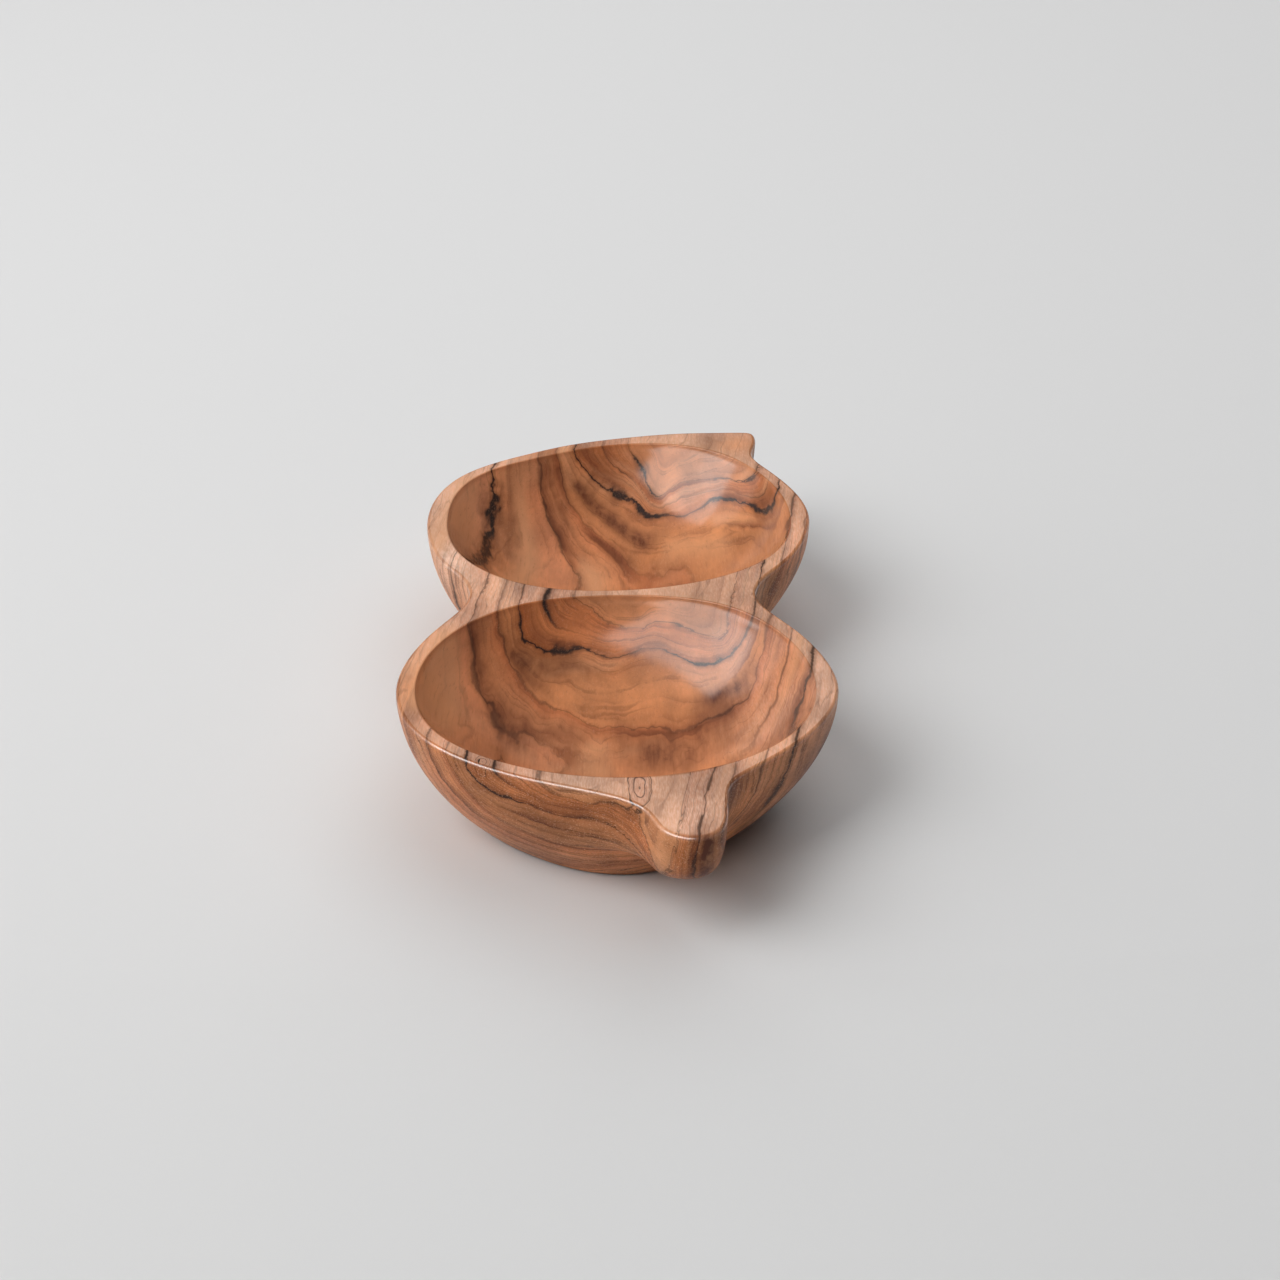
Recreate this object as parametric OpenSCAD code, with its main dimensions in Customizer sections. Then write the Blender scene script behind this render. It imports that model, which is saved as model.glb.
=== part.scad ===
// Divided serving bowl, carved from one block of teak.
// Two oval compartments lie one behind the other and share a thin web. The flat rim runs
// round both and grows into a short blunt tip at each end, to lift the bowl by.
// +Y runs from the near compartment to the far one, +X to the right, +Z up from the base.

/* [Compartments] */
// Width of the near compartment's opening
near_w = 143; // [110:1:175]
// Length of the near compartment's opening
near_l = 125; // [100:1:155]
// Width of the far compartment's opening
far_w = 136; // [110:1:170]
// Length of the far compartment's opening
far_l = 127; // [100:1:155]
// Depth of both compartments below the rim
hollow_depth = 38; // [20:1:42]
// Thickness of the web between the compartments, at its thinnest
web_t = 4.5; // [3:0.5:12]

/* [Rim and wall] */
// Height of the bowl, base to rim
bowl_h = 50; // [46:1:80]
// Width of the flat rim where it is fullest
rim_w = 8; // [5:0.5:14]
// How far the edge of the base stands inside the rim, at the sides
side_inset = 30; // [15:1:38]
// How far the edge of the base stands inside the rim, at the two ends
end_inset = 19.5; // [10:0.5:30]
// Rounding of the rim's outer edge
outer_edge_r = 1.2; // [0.4:0.1:2]
// Easing of the rim's inner edges
inner_edge_r = 0.6; // [0.2:0.1:1.2]
// Easing of the edge that the bowl rests on
foot_edge_r = 1; // [0.4:0.1:2]

/* [Waist and tips] */
// Width of the rim across the waist, between the two lobes
waist_w = 110; // [90:1:124]
// Width of each tip
tip_w = 24; // [18:1:30]
// Thickness of each tip, from the rim down to its underside
tip_t = 29; // [18:1:38]
// How far the near tip stands out past the rim in front of it
near_tip_l = 28; // [18:1:40]
// Sideways place of the near tip's middle
near_tip_x = 26; // [14:1:34]
// How far the far tip stands out past the rim behind it
far_tip_l = 3.5; // [1:0.5:12]
// Sideways place of the far tip's outer corner
far_tip_x = 57; // [50:1:64]

/* [Hidden] */

// A lobe is an oval whose reach, every 30 degrees from +X, is a share of its half sizes
lobe_step = 30;
near_reach_share = [0.985, 1, 1.085, 0.998, 1.055, 1.03, 1.01, 1.045, 0.985, 0.98, 1, 1.02];
far_reach_share = [0.99, 1, 1.08, 0.99, 0.91, 1.045, 1, 1.07, 1.06, 0.965, 0.975, 1.045];
// The rim's width at the same angles, as shares of rim_w
near_rim_share = [1.1, 0.65, 1, 1, 1, 0.55, 0.95, 0.75, 0.6, 0.95, 0.8, 0.6];
far_rim_share = [1.2, 0.65, 0.8, 0.9, 0.7, 0.7, 1.15, 0.85, 1, 1, 1, 0.55];

// The waist's points on each side, [sideways, lengthways], as shares of half waist_w
right_waist_share = [[1.06, -0.27], [0.91, 0], [1.03, 0.29]];
left_waist_share = [[-1.13, 0.31], [-1.01, 0.02], [-1.10, -0.24]];
// The tips' points, [sideways, lengthways] from the place of the tip, as shares of tip_w,
// then the angle at which the wall below meets its lobe
far_tip_share = [
    [-0.03, -1.14, 42], [-0.11, -0.80, 46], [0.02, -0.42, 50], [0, -0.06, 54],
    [-0.12, 0.02, 58], [-0.50, 0, 64], [-1.00, 0, 72], [-1.70, -0.05, 82], [-3.20, -0.40, 98]
];
near_tip_share = [
    [-1.08, 1.04, 271], [-0.66, 0.76, 275.5], [-0.52, 0.33, 280], [-0.36, 0.09, 284.5],
    [0.02, -0.04, 289], [0.36, 0.10, 293.5], [0.49, 0.46, 297], [0.49, 0.96, 300.5],
    [0.51, 1.40, 304], [0.80, 1.70, 309]
];
tip_step = 5;
// The lobes' own points between the waist and the tips, [angle, angle to its neighbours]
right_near_turns = [[0, lobe_step], [28, lobe_step]];
right_far_turns = [[330, lobe_step], [360, lobe_step], [387, 22]];
left_far_turns = [[122, 25], [150, lobe_step], [180, lobe_step], [210, lobe_step]];
left_near_turns = [[152, lobe_step], [180, lobe_step], [210, lobe_step], [238, lobe_step], [258, 20]];
front_near_turns = [[322, 15], [340, 20]];

// The tip's underside is a deep round, a curve of this power, as far back as this share of
// the tip's reach. From there it sweeps down into the wall.
tip_power = 3.5;
tip_root_share = 0.45;
tip_sweep_power = 3;
// The hollows fall from the rim to a broad floor: a curve of this power, which also narrows
// evenly on the way down, by this share in all, so that the walls lean back from the rim on
hollow_power = 2.6;
hollow_lean_share = 0.3;

// Steps of a curve between two of its points, for the outside and for the hollows
outline_steps = 4;
hollow_steps = 5;
// Levels of the foot, the sweep, the tips, the rounded edges and the hollows
foot_levels = 5;
sweep_levels = 3;
tip_levels = 7;
edge_levels = 3;
hollow_levels = 11;
// Overrun of each cut above the rim
cut_over = 1;

// Places along Y
total_l = near_tip_l + rim_w + near_l + web_t + far_l + rim_w + far_tip_l;
near_tip_y = -total_l / 2;
front_y = near_tip_y + near_tip_l;
near_y = front_y + rim_w + near_l / 2;
waist_y = near_y + near_l / 2 + web_t / 2;
far_y = waist_y + web_t / 2 + far_l / 2;
far_tip_y = total_l / 2;

// Value of a table of shares at any angle, by straight lines between its entries
function at_angle(table, angle) =
    let (turn = angle / lobe_step, low = floor(turn), part = turn - low, count = len(table))
    table[low % count] * (1 - part) + table[(low + 1) % count] * part;

// Point for a lobe's curve at an angle; a curve runs inside its points, so they stand proud
function lobe_point(y, w, l, reach, angle, out, step) =
    let (arm = [cos(angle) * w / 2, sin(angle) * l / 2] * at_angle(reach, angle),
         proud = 6 / (4 + 2 * cos(step)))
    [0, y] + arm * (1 + out / norm(arm)) * proud;

function near_rim(angle, step) = lobe_point(near_y, near_w, near_l, near_reach_share, angle,
    rim_w * at_angle(near_rim_share, angle), step);
function far_rim(angle, step) = lobe_point(far_y, far_w, far_l, far_reach_share, angle,
    rim_w * at_angle(far_rim_share, angle), step);

function waist_points(table) = [for (s = table) [s[0], s[1]] * waist_w / 2 + [0, waist_y]];
function tip_points(table, place) = [for (s = table) place + [s[0], s[1]] * tip_w];

right_near = [for (t = right_near_turns) near_rim(t[0], t[1])];
right_far = [for (t = right_far_turns) far_rim(t[0], t[1])];
left_far = [for (t = left_far_turns) far_rim(t[0], t[1])];
left_near = [for (t = left_near_turns) near_rim(t[0], t[1])];
front_near = [for (t = front_near_turns) near_rim(t[0], t[1])];
right_waist = waist_points(right_waist_share);
left_waist = waist_points(left_waist_share);

// Points of the wall's outline without its tips, anticlockwise from the near lobe's right
wall_points = concat(
    right_near, right_waist, right_far,
    [for (s = far_tip_share) far_rim(s[2], tip_step)], left_far, left_waist, left_near,
    [for (s = near_tip_share) near_rim(s[2], tip_step)], front_near);
// The same with its tips, which is the rim's outline
rim_points = concat(
    right_near, right_waist, right_far,
    tip_points(far_tip_share, [far_tip_x, far_tip_y]), left_far, left_waist, left_near,
    tip_points(near_tip_share, [near_tip_x, near_tip_y]), front_near);
// The base's outline: each wall point drawn in toward the line between the lobes' middles
base_points = [for (p = wall_points)
    let (middle = [0, max(near_y, min(far_y, p[1]))], arm = p - middle, away = arm / norm(arm))
    p - away * norm([side_inset * away[0], end_inset * away[1]])];

// Where the outline passes the middle of the waist
right_split = outline_steps * (len(right_near) + 1);
left_split = outline_steps
    * (len(right_near) + len(right_waist) + len(right_far) + len(far_tip_share) + len(left_far) + 1);

// Closed smooth curve near its points: a uniform cubic spline
function spline(points, steps) =
    let (count = len(points))
    [for (i = [0 : count - 1], k = [0 : steps - 1])
        let (t = k / steps, u = 1 - t)
        (points[(i + count - 1) % count] * pow(u, 3)
            + points[i] * (3 * pow(t, 3) - 6 * pow(t, 2) + 4)
            + points[(i + 1) % count] * (3 * pow(u, 3) - 6 * pow(u, 2) + 4)
            + points[(i + 2) % count] * pow(t, 3)) / 6];

// A closed curve drawn in square to itself
function drawn_in(curve, by) =
    let (count = len(curve))
    [for (i = [0 : count - 1])
        let (along = curve[(i + 1) % count] - curve[(i + count - 1) % count],
             across = [-along[1], along[0]] / norm(along))
        curve[i] + across * by];

function raised(curve, z) = [for (p = curve) [p[0], p[1], z]];

// Outline of the outside at a height: the wall leans out along a parabola, and the tips
// grow out of it
function outside_level(z, tip_part) =
    let (low = 1 - z / bowl_h, lean = 1 - low * low)
    spline([for (i = [0 : len(wall_points) - 1])
        base_points[i] + (wall_points[i] - base_points[i]) * lean
            + (rim_points[i] - wall_points[i]) * tip_part], outline_steps);

// How much of the tips' reach is there at a height: the deep round above, the sweep below
root_drop = pow(1 - pow(tip_root_share, tip_power), 1 / tip_power);
sweep_drop = tip_sweep_power * tip_root_share * pow(tip_root_share / root_drop, tip_power - 1);
function tip_part(z) =
    let (drop = (bowl_h - z) / tip_t, left = (root_drop + sweep_drop - drop) / sweep_drop)
    drop < root_drop ? pow(1 - pow(drop, tip_power), 1 / tip_power)
        : left > 0 ? tip_root_share * pow(left, tip_sweep_power)
        : 0;
function outside_ring(z, in) = raised(drawn_in(outside_level(z, tip_part(z)), in), z);

// Rings of the outside, base to rim: eased foot, wall, sweep, deep round of the tips, edge
root_z = bowl_h - tip_t * root_drop;
sweep_z = root_z - tip_t * sweep_drop;
edge_z = bowl_h - outer_edge_r;
root_turn = asin(pow(tip_root_share, tip_power / 2));
outside_rings = concat(
    [for (i = [0 : edge_levels - 1])
        let (turn = 90 * i / edge_levels)
        outside_ring(foot_edge_r * (1 - cos(turn)), foot_edge_r * (1 - sin(turn)))],
    [for (i = [0 : foot_levels - 1])
        outside_ring(foot_edge_r + (sweep_z - foot_edge_r) * i / foot_levels, 0)],
    [for (i = [0 : sweep_levels - 1])
        outside_ring(sweep_z + (root_z - sweep_z) * i / sweep_levels, 0)],
    [for (i = [0 : tip_levels - 1])
        let (turn = root_turn + (90 - root_turn) * i / tip_levels,
             z = bowl_h - tip_t * pow(cos(turn), 2 / tip_power))
        if (z < edge_z) outside_ring(z, 0)],
    [for (i = [0 : edge_levels])
        let (turn = 90 * i / edge_levels)
        outside_ring(edge_z + outer_edge_r * sin(turn), outer_edge_r * (1 - cos(turn)))]);

// Rings of a hollow: above the rim, the eased edge, and down to round its floor's middle
function hollow_rings(points, y) =
    let (curve = spline(points, hollow_steps))
    concat(
        [raised(drawn_in(curve, -inner_edge_r), bowl_h + cut_over)],
        [for (i = [0 : edge_levels])
            let (turn = 90 * i / edge_levels)
            raised(drawn_in(curve, -inner_edge_r * (1 - sin(turn))),
                bowl_h - inner_edge_r * (1 - cos(turn)))],
        [for (i = [1 : hollow_levels])
            let (turn = 90 * (1 - i / (hollow_levels + 1)),
                 drop = pow(cos(turn), 2 / hollow_power),
                 out = pow(sin(turn), 2 / hollow_power) * (1 - hollow_lean_share * drop),
                 z = bowl_h - hollow_depth * drop)
            [for (p = curve) [p[0] * out, y + (p[1] - y) * out, z]]]);

function flat(list) = [for (part = list, item = part) item];

// Side faces between rings of equal count, lower ring first
function side_faces(rings) =
    let (count = len(rings[0]))
    flat([for (r = [0 : len(rings) - 2], i = [0 : count - 1])
        let (a = r * count + i, b = r * count + (i + 1) % count)
        [[a, a + count, b], [b, a + count, b + count]]]);

// Fan of faces from a middle point over a stretch of a ring
function fan(first, count, from, to, middle, up) =
    [for (i = [from : to - 1])
        let (a = first + i % count, b = first + (i + 1) % count)
        up ? [middle, b, a] : [middle, a, b]];

// The solid outside, its base and its top each closed by a fan in each lobe
module outside() {
    count = len(outside_rings[0]);
    body = flat(outside_rings);
    low = len(body);
    last = low - count;
    turns = [[left_split, right_split + count, 0], [right_split, left_split, 1]];
    middles = [for (z = [0, bowl_h], y = [near_y, far_y]) [0, y, z]];
    caps = [for (t = turns, up = [false, true])
        let (first = up ? last : 0, middle = low + t[2] + (up ? 2 : 0),
             a = first + t[0] % count, b = first + t[1] % count)
        concat(fan(first, count, t[0], t[1], middle, up),
            [up ? [middle, a, b] : [middle, b, a]])];
    polyhedron(concat(body, middles), concat(side_faces(outside_rings), flat(caps)));
}

// The solid that is carved away for a compartment
module hollow(points, y) {
    rings = hollow_rings(points, y);
    // Bottom ring first, so that the faces turn outward
    stack = [for (i = [len(rings) - 1 : -1 : 0]) rings[i]];
    count = len(stack[0]);
    body = flat(stack);
    low = len(body);
    middles = [[0, y, bowl_h - hollow_depth], [0, y, bowl_h + cut_over]];
    polyhedron(concat(body, middles), concat(side_faces(stack),
        fan(0, count, 0, count, low, false), fan(low - count, count, 0, count, low + 1, true)));
}

near_hollow_points = [for (i = [0 : len(near_reach_share) - 1])
    lobe_point(near_y, near_w, near_l, near_reach_share, lobe_step * i, 0, lobe_step)];
far_hollow_points = [for (i = [0 : len(far_reach_share) - 1])
    lobe_point(far_y, far_w, far_l, far_reach_share, lobe_step * i, 0, lobe_step)];

// Middle of the bowl's box, which comes to stand over the origin
rim_curve = spline(rim_points, outline_steps);
box_middle = [for (k = [0, 1]) let (side = [for (p = rim_curve) p[k]]) (min(side) + max(side)) / 2];

// The whole bowl is one piece of wood
module carved_bowl() {
    color("#b87d55")
    translate(-box_middle)
    difference() {
        outside();
        hollow(near_hollow_points, near_y);
        hollow(far_hollow_points, far_y);
    }
}

carved_bowl();
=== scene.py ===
import math
from functools import partial

import bpy
import numpy as np
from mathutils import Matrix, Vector


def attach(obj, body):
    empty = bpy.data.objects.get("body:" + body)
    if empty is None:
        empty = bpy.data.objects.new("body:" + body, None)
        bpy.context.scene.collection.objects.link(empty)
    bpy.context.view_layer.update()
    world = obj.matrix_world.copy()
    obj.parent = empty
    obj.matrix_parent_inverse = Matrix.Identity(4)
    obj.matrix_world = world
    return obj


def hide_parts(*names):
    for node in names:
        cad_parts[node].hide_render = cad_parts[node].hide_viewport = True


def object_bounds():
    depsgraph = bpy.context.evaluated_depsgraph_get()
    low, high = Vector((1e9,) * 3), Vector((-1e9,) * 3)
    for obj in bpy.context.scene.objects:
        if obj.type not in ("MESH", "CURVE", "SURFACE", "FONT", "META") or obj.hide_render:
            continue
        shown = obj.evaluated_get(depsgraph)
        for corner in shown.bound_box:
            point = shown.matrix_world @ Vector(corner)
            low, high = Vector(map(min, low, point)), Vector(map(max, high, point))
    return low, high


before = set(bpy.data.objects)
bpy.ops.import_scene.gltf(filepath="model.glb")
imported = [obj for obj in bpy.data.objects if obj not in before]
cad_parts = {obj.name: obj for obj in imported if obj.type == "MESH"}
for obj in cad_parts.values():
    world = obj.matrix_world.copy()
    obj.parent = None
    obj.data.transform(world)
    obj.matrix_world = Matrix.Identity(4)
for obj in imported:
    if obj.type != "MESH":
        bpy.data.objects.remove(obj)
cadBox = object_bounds()
mm = 0.001
print("frame loaded")

# The camera stands where the photograph's did: level sides, aimed down along +Y
view = {"place": (0.00816, -0.87552, 0.55198), "pitch": 30.5, "lens": 50, "sensor": 24}


def makeCamera():
    # a camera at the view's place, tilted down by its pitch
    data = bpy.data.cameras.new("camera")
    data.sensor_fit = "HORIZONTAL"
    data.sensor_width = view["sensor"]
    data.lens = view["lens"]
    data.clip_end = 50
    camera = bpy.data.objects.new("camera", data)
    camera.location = view["place"]
    camera.rotation_euler = (math.radians(90 - view["pitch"]), 0, 0)
    bpy.context.scene.collection.objects.link(camera)
    bpy.context.scene.camera = camera


makeCamera()
print("camera placed")

# Millimetres. The sizes and shares are those of the CAD solid, drawn here with finer steps.
bowl = {
    "nearWidth": 143, "nearLength": 125, "farWidth": 136, "farLength": 127,
    "hollowDepth": 38, "webThickness": 4.5, "height": 50, "rimWidth": 8,
    "sideInset": 30, "endInset": 19.5,
    "outerEdge": 1.2, "innerEdge": 0.6, "footEdge": 1.0,
    "waistWidth": 110, "tipWidth": 24, "tipThickness": 29,
    "nearTipLength": 28, "nearTipX": 26, "farTipLength": 3.5, "farTipX": 57,
    # reach of each lobe and width of its rim, every 30 degrees from +X
    "nearReach": [0.985, 1, 1.085, 0.998, 1.055, 1.03, 1.01, 1.045, 0.985, 0.98, 1, 1.02],
    "farReach": [0.99, 1, 1.08, 0.99, 0.91, 1.045, 1, 1.07, 1.06, 0.965, 0.975, 1.045],
    "nearRim": [1.1, 0.65, 1, 1, 1, 0.55, 0.95, 0.75, 0.6, 0.95, 0.8, 0.6],
    "farRim": [1.2, 0.65, 0.8, 0.9, 0.7, 0.7, 1.15, 0.85, 1, 1, 1, 0.55],
    # waist points, shares of half its width; tip points, shares of the tip's width, with the
    # angle at which the wall below meets its lobe
    "rightWaist": [[1.06, -0.27], [0.91, 0], [1.03, 0.29]],
    "leftWaist": [[-1.13, 0.31], [-1.01, 0.02], [-1.10, -0.24]],
    "farTip": [[-0.03, -1.14, 42], [-0.11, -0.80, 46], [0.02, -0.42, 50], [0, -0.06, 54],
               [-0.12, 0.02, 58], [-0.50, 0, 64], [-1.00, 0, 72], [-1.70, -0.05, 82],
               [-3.20, -0.40, 98]],
    "nearTip": [[-1.08, 1.04, 271], [-0.66, 0.76, 275.5], [-0.52, 0.33, 280], [-0.36, 0.09, 284.5],
                [0.02, -0.04, 289], [0.36, 0.10, 293.5], [0.49, 0.46, 297], [0.49, 0.96, 300.5],
                [0.51, 1.40, 304], [0.80, 1.70, 309]],
    # the lobes' own points, angle and angle to the neighbours
    "rightNear": [[0, 30], [28, 30]], "rightFar": [[330, 30], [360, 30], [387, 22]],
    "leftFar": [[122, 25], [150, 30], [180, 30], [210, 30]],
    "leftNear": [[152, 30], [180, 30], [210, 30], [238, 30], [258, 20]],
    "frontNear": [[322, 15], [340, 20]],
    "tipStep": 5, "tipPower": 3.5, "tipRoot": 0.45, "sweepPower": 3,
    "hollowPower": 2.6, "hollowLean": 0.3,
    # how finely it is drawn
    "farSteps": 232, "nearSteps": 236, "webSteps": 56, "wallLevels": 62, "hollowLevels": 58,
    "edgeLevels": 5, "rimColumns": 9, "baseColumns": 14,
    # per surface: its share of lacquer, how pale sanding and a painted sheen leave it, how plainly
    # fine grain shows
    "finish": {"Hollow": (1.0, 0.0, 0.5), "Rim": (0.5, 1.0, 0.5), "outside": (0.12, 0.03, 1.0),
               "Base": (0.0, 0.3, 1.0)},
    "edgeLacquer": 1.5,
    # painted contact shade on the foot's edge where it stands: how dark, and how high that reaches
    # in mm
    "footPaintedShade": 0.9, "footReach": 1.6,
    # patches paler from sanding and from a painted sheen, or darker (below 0): middle, half size in
    # mm, how much
    # the far lobe's left outer wall patch is painted sheen; the near hollow's right wall and the
    # paler rim patches partly so
    "sandedAndPaintedSheenPatches": [((54, -44, 25), (15, 24, 40), 0.5), ((-68, 30, 46), (10, 24, 12), 1.2),
                      ((-72, 82, 50), (8, 34, 2), 0.5), ((78, -50, 50), (12, 40, 2), 0.25),
                      ((-15, -120, 50), (30, 10, 2), 0.35), ((27, -139, 50), (14, 14, 2), 0.45),
                      ((-74, -59, 50), (10, 26, 2), -0.7), ((-26, 133, 50), (34, 8, 2), -0.8),
                      ((50, 140, 50), (14, 9, 2), -0.6)],
    # ink stays narrow on the outside, which runs along the rings
    "outsideInk": 0.8,
    # how far a hand-sanded wall strays from true, the lengths of its waves and how far below the
    # rim they start, reach full size and end above the foot, in mm
    "handWave": 0.16, "waves": (58, 41, 33, 24, 19), "waveSeed": 12,
    "waveStart": 1.5, "waveGrows": 8, "waveEnds": 4,
}


def atAngle(table, angle):
    # straight lines between entries that are 30 degrees apart, round and round
    return np.interp(np.mod(angle, 360), np.arange(0, 390, 30), np.append(table, table[0]))


def lobePoints(y, width, length, reach, angle, out, step):
    # an oval's point at each angle, stretched by its reach and by out mm, and stood proud by
    # 6 / (4 + 2 cos step), because a cubic spline runs that much inside its points
    turn = np.radians(angle)
    arm = np.stack([np.cos(turn) * width / 2, np.sin(turn) * length / 2], -1)
    arm *= atAngle(reach, angle)[..., None]
    proud = 6 / (4 + 2 * np.cos(np.radians(step)))
    far = np.linalg.norm(arm, axis=-1, keepdims=True)
    longer = (1 + np.asarray(out)[..., None] / far) * np.asarray(proud)[..., None]
    return np.array([0, y]) + arm * longer


def splineAt(points, u):
    # closed uniform cubic B-spline at u, counted in points: weights (1-t)^3,
    # 3t^3-6t^2+4, 3(1-t)^3-6(1-t)^2+4 and t^3, all over 6
    count = len(points)
    low = np.floor(u).astype(int)
    t = (u - low)[:, None]
    s = 1 - t
    pick = [points[(low + k) % count] for k in (-1, 0, 1, 2)]
    return (pick[0] * s**3 + pick[1] * (3 * t**3 - 6 * t**2 + 4)
            + pick[2] * (3 * s**3 - 6 * s**2 + 4) + pick[3] * t**3) / 6


def drawnIn(curve, by):
    # each point of a closed curve moved square to the curve, to its left, by so many mm
    along = np.roll(curve, -1, 0) - np.roll(curve, 1, 0)
    across = np.stack([-along[:, 1], along[:, 0]], -1)
    return curve + across / np.linalg.norm(across, axis=1, keepdims=True) * by


def bowlOutlines():
    # control points of the wall (lobes and waist at the rim's level), the rim (the same with
    # the tips) and the base (the wall drawn toward the lobes' middles by an oval's share of its
    # insets), with the lobes' middles
    b = bowl
    total = (b["nearTipLength"] + b["farTipLength"] + 2 * b["rimWidth"] + b["nearLength"]
             + b["webThickness"] + b["farLength"])
    nearY = -total / 2 + b["nearTipLength"] + b["rimWidth"] + b["nearLength"] / 2
    waistY = nearY + (b["nearLength"] + b["webThickness"]) / 2
    farY = waistY + (b["webThickness"] + b["farLength"]) / 2

    def rimAt(side, rows):
        rows = np.array(rows, float)
        y, name = (nearY, "near") if side == "near" else (farY, "far")
        return lobePoints(y, b[name + "Width"], b[name + "Length"], b[name + "Reach"], rows[:, 0],
                          b["rimWidth"] * atAngle(b[name + "Rim"], rows[:, 0]), rows[:, 1])

    def tipRows(name):
        return [[row[2], b["tipStep"]] for row in b[name]]

    def tipPoints(name, place):
        return np.array(place) + np.array(b[name])[:, :2] * b["tipWidth"]

    waist = {name: np.array(b[name]) * b["waistWidth"] / 2 + [0, waistY]
             for name in ("rightWaist", "leftWaist")}
    before = [rimAt("near", b["rightNear"]), waist["rightWaist"], rimAt("far", b["rightFar"])]
    between = [rimAt("far", b["leftFar"]), waist["leftWaist"], rimAt("near", b["leftNear"])]
    after = [rimAt("near", b["frontNear"])]
    wall = np.concatenate(before + [rimAt("far", tipRows("farTip"))] + between
                          + [rimAt("near", tipRows("nearTip"))] + after)
    rim = np.concatenate(before + [tipPoints("farTip", [b["farTipX"], total / 2])] + between
                         + [tipPoints("nearTip", [b["nearTipX"], -total / 2])] + after)
    middle = np.stack([np.zeros(len(wall)), np.clip(wall[:, 1], nearY, farY)], -1)
    away = wall - middle
    away /= np.linalg.norm(away, axis=1, keepdims=True)
    inset = np.linalg.norm(away * [b["sideInset"], b["endInset"]], axis=1, keepdims=True)
    # the outline's own places at the middle of the waist, counted in points
    right = len(b["rightNear"]) + 1
    left = right + 2 + len(b["rightFar"]) + len(b["farTip"]) + len(b["leftFar"]) + 1
    return wall, rim, wall - away * inset, nearY, farY, right, left


def tipShare(z):
    # how much of the tips' reach is there at a height: (1 - drop^p)^(1/p) in the deep round
    # above, and below it a power of what is left, which starts with the same slope
    b = bowl
    root = (1 - b["tipRoot"] ** b["tipPower"]) ** (1 / b["tipPower"])
    sweep = b["sweepPower"] * b["tipRoot"] * (b["tipRoot"] / root) ** (b["tipPower"] - 1)
    drop = (b["height"] - z) / b["tipThickness"]
    deep = np.clip(1 - np.clip(drop, 0, 1) ** b["tipPower"], 0, 1) ** (1 / b["tipPower"])
    low = b["tipRoot"] * np.clip((root + sweep - drop) / sweep, 0, 1) ** b["sweepPower"]
    return np.where(drop < root, deep, low)


def gridFaces(rows, columns, start, wrap):
    # quads between neighbouring rows of a grid of vertices
    index = start + np.arange(rows * columns).reshape(rows, columns)
    right = np.roll(index, -1, 1) if wrap else index[:, 1:]
    left = index if wrap else index[:, :-1]
    return np.stack([left[:-1], right[:-1], right[1:], left[1:]], -1).reshape(-1, 4)


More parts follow.
